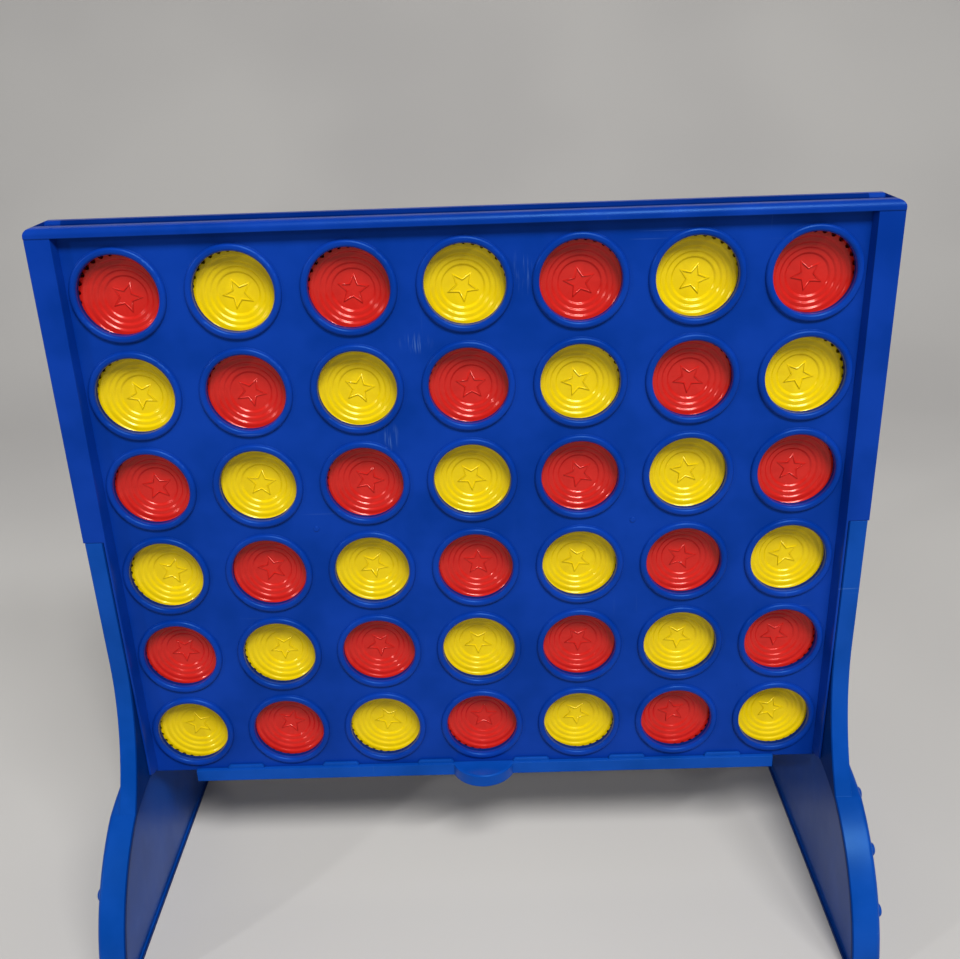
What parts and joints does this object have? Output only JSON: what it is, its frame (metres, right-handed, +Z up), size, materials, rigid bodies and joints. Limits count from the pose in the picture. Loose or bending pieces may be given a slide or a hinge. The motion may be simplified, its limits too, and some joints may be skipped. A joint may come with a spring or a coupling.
{
  "type": "four in a row game frame",
  "caption": "Upright grid frame on slip-on legs, with round discs stacked in its chutes above a sliding release bar that drops them out.",
  "frame": {"origin": "on the ground under the middle of the frame", "axes": "+X to the right seen from the front, +Y to the back, +Z up; the side with the finger tab faces -Y"},
  "size_m": [0.2666, 0.122, 0.25],
  "materials": {
    "shell_blue": "satin",
    "leg_blue": "satin",
    "bar_blue": "satin",
    "disc_red": "gloss",
    "disc_yellow": "gloss"
  },
  "bodies": {
    "frame": {"front_panel": "shell_blue", "front_border": "shell_blue", "back_panel": "shell_blue", "back_border": "shell_blue", "divider_1": "shell_blue", "divider_2": "shell_blue", "divider_3": "shell_blue", "divider_4": "shell_blue", "divider_5": "shell_blue", "divider_6": "shell_blue"},
    "left_leg": {"left_leg": "leg_blue"},
    "right_leg": {"right_leg": "leg_blue"},
    "release_bar": {"release_bar": "bar_blue"},
    "red_disc_r1_c1": {"red_disc_r1_c1": "disc_red"},
    "yellow_disc_r1_c2": {"yellow_disc_r1_c2": "disc_yellow"},
    "red_disc_r1_c3": {"red_disc_r1_c3": "disc_red"},
    "yellow_disc_r1_c4": {"yellow_disc_r1_c4": "disc_yellow"},
    "red_disc_r1_c5": {"red_disc_r1_c5": "disc_red"},
    "yellow_disc_r1_c6": {"yellow_disc_r1_c6": "disc_yellow"},
    "red_disc_r1_c7": {"red_disc_r1_c7": "disc_red"},
    "yellow_disc_r2_c1": {"yellow_disc_r2_c1": "disc_yellow"},
    "red_disc_r2_c2": {"red_disc_r2_c2": "disc_red"},
    "yellow_disc_r2_c3": {"yellow_disc_r2_c3": "disc_yellow"},
    "red_disc_r2_c4": {"red_disc_r2_c4": "disc_red"},
    "yellow_disc_r2_c5": {"yellow_disc_r2_c5": "disc_yellow"},
    "red_disc_r2_c6": {"red_disc_r2_c6": "disc_red"},
    "yellow_disc_r2_c7": {"yellow_disc_r2_c7": "disc_yellow"},
    "red_disc_r3_c1": {"red_disc_r3_c1": "disc_red"},
    "yellow_disc_r3_c2": {"yellow_disc_r3_c2": "disc_yellow"},
    "red_disc_r3_c3": {"red_disc_r3_c3": "disc_red"},
    "yellow_disc_r3_c4": {"yellow_disc_r3_c4": "disc_yellow"},
    "red_disc_r3_c5": {"red_disc_r3_c5": "disc_red"},
    "yellow_disc_r3_c6": {"yellow_disc_r3_c6": "disc_yellow"},
    "red_disc_r3_c7": {"red_disc_r3_c7": "disc_red"},
    "yellow_disc_r4_c1": {"yellow_disc_r4_c1": "disc_yellow"},
    "red_disc_r4_c2": {"red_disc_r4_c2": "disc_red"},
    "yellow_disc_r4_c3": {"yellow_disc_r4_c3": "disc_yellow"},
    "red_disc_r4_c4": {"red_disc_r4_c4": "disc_red"},
    "yellow_disc_r4_c5": {"yellow_disc_r4_c5": "disc_yellow"},
    "red_disc_r4_c6": {"red_disc_r4_c6": "disc_red"},
    "yellow_disc_r4_c7": {"yellow_disc_r4_c7": "disc_yellow"},
    "red_disc_r5_c1": {"red_disc_r5_c1": "disc_red"},
    "yellow_disc_r5_c2": {"yellow_disc_r5_c2": "disc_yellow"},
    "red_disc_r5_c3": {"red_disc_r5_c3": "disc_red"},
    "yellow_disc_r5_c4": {"yellow_disc_r5_c4": "disc_yellow"},
    "red_disc_r5_c5": {"red_disc_r5_c5": "disc_red"},
    "yellow_disc_r5_c6": {"yellow_disc_r5_c6": "disc_yellow"},
    "red_disc_r5_c7": {"red_disc_r5_c7": "disc_red"},
    "yellow_disc_r6_c1": {"yellow_disc_r6_c1": "disc_yellow"},
    "red_disc_r6_c2": {"red_disc_r6_c2": "disc_red"},
    "yellow_disc_r6_c3": {"yellow_disc_r6_c3": "disc_yellow"},
    "red_disc_r6_c4": {"red_disc_r6_c4": "disc_red"},
    "yellow_disc_r6_c5": {"yellow_disc_r6_c5": "disc_yellow"},
    "red_disc_r6_c6": {"red_disc_r6_c6": "disc_red"},
    "yellow_disc_r6_c7": {"yellow_disc_r6_c7": "disc_yellow"}
  },
  "joints": [
    {"name": "release_bar_slide", "type": "slide", "parent": "frame", "child": "release_bar", "axis": [1, 0, 0], "range_m": [-0.017, 0.017]},
    {"name": "left_leg_slide", "type": "slide", "parent": "frame", "child": "left_leg", "axis": [0, 0, 1], "range_m": [-0.105, 0]},
    {"name": "right_leg_slide", "type": "slide", "parent": "frame", "child": "right_leg", "axis": [0, 0, 1], "range_m": [-0.105, 0]},
    {"name": "disc_r6_c1_slide", "type": "slide", "parent": "frame", "child": "yellow_disc_r6_c1", "axis": [0, 0, 1], "range_m": [0, 0.1982]},
    {"name": "disc_r5_c1_slide", "type": "slide", "parent": "yellow_disc_r6_c1", "child": "red_disc_r5_c1", "axis": [0, 0, 1], "range_m": [0, 0.1664]},
    {"name": "disc_r4_c1_slide", "type": "slide", "parent": "red_disc_r5_c1", "child": "yellow_disc_r4_c1", "axis": [0, 0, 1], "range_m": [0, 0.1346]},
    {"name": "disc_r3_c1_slide", "type": "slide", "parent": "yellow_disc_r4_c1", "child": "red_disc_r3_c1", "axis": [0, 0, 1], "range_m": [0, 0.1028]},
    {"name": "disc_r2_c1_slide", "type": "slide", "parent": "red_disc_r3_c1", "child": "yellow_disc_r2_c1", "axis": [0, 0, 1], "range_m": [0, 0.071]},
    {"name": "disc_r1_c1_slide", "type": "slide", "parent": "yellow_disc_r2_c1", "child": "red_disc_r1_c1", "axis": [0, 0, 1], "range_m": [0, 0.0392]},
    {"name": "disc_r6_c2_slide", "type": "slide", "parent": "frame", "child": "red_disc_r6_c2", "axis": [0, 0, 1], "range_m": [0, 0.1982]},
    {"name": "disc_r5_c2_slide", "type": "slide", "parent": "red_disc_r6_c2", "child": "yellow_disc_r5_c2", "axis": [0, 0, 1], "range_m": [0, 0.1664]},
    {"name": "disc_r4_c2_slide", "type": "slide", "parent": "yellow_disc_r5_c2", "child": "red_disc_r4_c2", "axis": [0, 0, 1], "range_m": [0, 0.1346]},
    {"name": "disc_r3_c2_slide", "type": "slide", "parent": "red_disc_r4_c2", "child": "yellow_disc_r3_c2", "axis": [0, 0, 1], "range_m": [0, 0.1028]},
    {"name": "disc_r2_c2_slide", "type": "slide", "parent": "yellow_disc_r3_c2", "child": "red_disc_r2_c2", "axis": [0, 0, 1], "range_m": [0, 0.071]},
    {"name": "disc_r1_c2_slide", "type": "slide", "parent": "red_disc_r2_c2", "child": "yellow_disc_r1_c2", "axis": [0, 0, 1], "range_m": [0, 0.0392]},
    {"name": "disc_r6_c3_slide", "type": "slide", "parent": "frame", "child": "yellow_disc_r6_c3", "axis": [0, 0, 1], "range_m": [0, 0.1982]},
    {"name": "disc_r5_c3_slide", "type": "slide", "parent": "yellow_disc_r6_c3", "child": "red_disc_r5_c3", "axis": [0, 0, 1], "range_m": [0, 0.1664]},
    {"name": "disc_r4_c3_slide", "type": "slide", "parent": "red_disc_r5_c3", "child": "yellow_disc_r4_c3", "axis": [0, 0, 1], "range_m": [0, 0.1346]},
    {"name": "disc_r3_c3_slide", "type": "slide", "parent": "yellow_disc_r4_c3", "child": "red_disc_r3_c3", "axis": [0, 0, 1], "range_m": [0, 0.1028]},
    {"name": "disc_r2_c3_slide", "type": "slide", "parent": "red_disc_r3_c3", "child": "yellow_disc_r2_c3", "axis": [0, 0, 1], "range_m": [0, 0.071]},
    {"name": "disc_r1_c3_slide", "type": "slide", "parent": "yellow_disc_r2_c3", "child": "red_disc_r1_c3", "axis": [0, 0, 1], "range_m": [0, 0.0392]},
    {"name": "disc_r6_c4_slide", "type": "slide", "parent": "frame", "child": "red_disc_r6_c4", "axis": [0, 0, 1], "range_m": [0, 0.1982]},
    {"name": "disc_r5_c4_slide", "type": "slide", "parent": "red_disc_r6_c4", "child": "yellow_disc_r5_c4", "axis": [0, 0, 1], "range_m": [0, 0.1664]},
    {"name": "disc_r4_c4_slide", "type": "slide", "parent": "yellow_disc_r5_c4", "child": "red_disc_r4_c4", "axis": [0, 0, 1], "range_m": [0, 0.1346]},
    {"name": "disc_r3_c4_slide", "type": "slide", "parent": "red_disc_r4_c4", "child": "yellow_disc_r3_c4", "axis": [0, 0, 1], "range_m": [0, 0.1028]},
    {"name": "disc_r2_c4_slide", "type": "slide", "parent": "yellow_disc_r3_c4", "child": "red_disc_r2_c4", "axis": [0, 0, 1], "range_m": [0, 0.071]},
    {"name": "disc_r1_c4_slide", "type": "slide", "parent": "red_disc_r2_c4", "child": "yellow_disc_r1_c4", "axis": [0, 0, 1], "range_m": [0, 0.0392]},
    {"name": "disc_r6_c5_slide", "type": "slide", "parent": "frame", "child": "yellow_disc_r6_c5", "axis": [0, 0, 1], "range_m": [0, 0.1982]},
    {"name": "disc_r5_c5_slide", "type": "slide", "parent": "yellow_disc_r6_c5", "child": "red_disc_r5_c5", "axis": [0, 0, 1], "range_m": [0, 0.1664]},
    {"name": "disc_r4_c5_slide", "type": "slide", "parent": "red_disc_r5_c5", "child": "yellow_disc_r4_c5", "axis": [0, 0, 1], "range_m": [0, 0.1346]},
    {"name": "disc_r3_c5_slide", "type": "slide", "parent": "yellow_disc_r4_c5", "child": "red_disc_r3_c5", "axis": [0, 0, 1], "range_m": [0, 0.1028]},
    {"name": "disc_r2_c5_slide", "type": "slide", "parent": "red_disc_r3_c5", "child": "yellow_disc_r2_c5", "axis": [0, 0, 1], "range_m": [0, 0.071]},
    {"name": "disc_r1_c5_slide", "type": "slide", "parent": "yellow_disc_r2_c5", "child": "red_disc_r1_c5", "axis": [0, 0, 1], "range_m": [0, 0.0392]},
    {"name": "disc_r6_c6_slide", "type": "slide", "parent": "frame", "child": "red_disc_r6_c6", "axis": [0, 0, 1], "range_m": [0, 0.1982]},
    {"name": "disc_r5_c6_slide", "type": "slide", "parent": "red_disc_r6_c6", "child": "yellow_disc_r5_c6", "axis": [0, 0, 1], "range_m": [0, 0.1664]},
    {"name": "disc_r4_c6_slide", "type": "slide", "parent": "yellow_disc_r5_c6", "child": "red_disc_r4_c6", "axis": [0, 0, 1], "range_m": [0, 0.1346]},
    {"name": "disc_r3_c6_slide", "type": "slide", "parent": "red_disc_r4_c6", "child": "yellow_disc_r3_c6", "axis": [0, 0, 1], "range_m": [0, 0.1028]},
    {"name": "disc_r2_c6_slide", "type": "slide", "parent": "yellow_disc_r3_c6", "child": "red_disc_r2_c6", "axis": [0, 0, 1], "range_m": [0, 0.071]},
    {"name": "disc_r1_c6_slide", "type": "slide", "parent": "red_disc_r2_c6", "child": "yellow_disc_r1_c6", "axis": [0, 0, 1], "range_m": [0, 0.0392]},
    {"name": "disc_r6_c7_slide", "type": "slide", "parent": "frame", "child": "yellow_disc_r6_c7", "axis": [0, 0, 1], "range_m": [0, 0.1982]},
    {"name": "disc_r5_c7_slide", "type": "slide", "parent": "yellow_disc_r6_c7", "child": "red_disc_r5_c7", "axis": [0, 0, 1], "range_m": [0, 0.1664]},
    {"name": "disc_r4_c7_slide", "type": "slide", "parent": "red_disc_r5_c7", "child": "yellow_disc_r4_c7", "axis": [0, 0, 1], "range_m": [0, 0.1346]},
    {"name": "disc_r3_c7_slide", "type": "slide", "parent": "yellow_disc_r4_c7", "child": "red_disc_r3_c7", "axis": [0, 0, 1], "range_m": [0, 0.1028]},
    {"name": "disc_r2_c7_slide", "type": "slide", "parent": "red_disc_r3_c7", "child": "yellow_disc_r2_c7", "axis": [0, 0, 1], "range_m": [0, 0.071]},
    {"name": "disc_r1_c7_slide", "type": "slide", "parent": "yellow_disc_r2_c7", "child": "red_disc_r1_c7", "axis": [0, 0, 1], "range_m": [0, 0.0392]}
  ]
}
